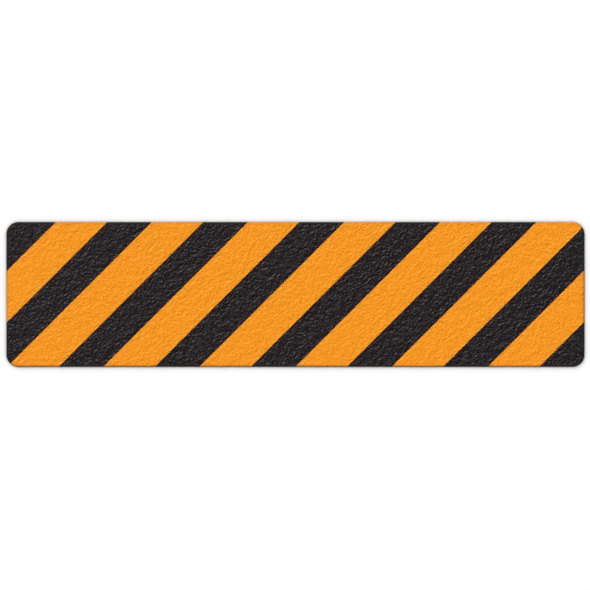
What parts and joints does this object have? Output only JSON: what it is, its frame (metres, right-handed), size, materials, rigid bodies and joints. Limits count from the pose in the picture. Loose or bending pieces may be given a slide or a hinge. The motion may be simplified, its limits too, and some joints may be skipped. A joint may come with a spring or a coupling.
{
  "type": "hazard stripe floor sign",
  "caption": "Long rectangular self-adhesive floor sign of embossed anti-slip vinyl, with rounded corners and slanted black stripes printed on orange.",
  "frame": {"origin": "centre of the adhesive underside", "axes": "+X along the sign's length, +Y across it towards the long edge that is uppermost in the picture, +Z out of the printed face"},
  "size_m": [0.6096, 0.1524, 0.002],
  "materials": {
    "orange_vinyl": "embossed, satin",
    "black_print": "embossed, satin"
  },
  "bodies": {
    "root": {"grip_sheet": "orange_vinyl", "black_stripes": "black_print"}
  },
  "joints": []
}
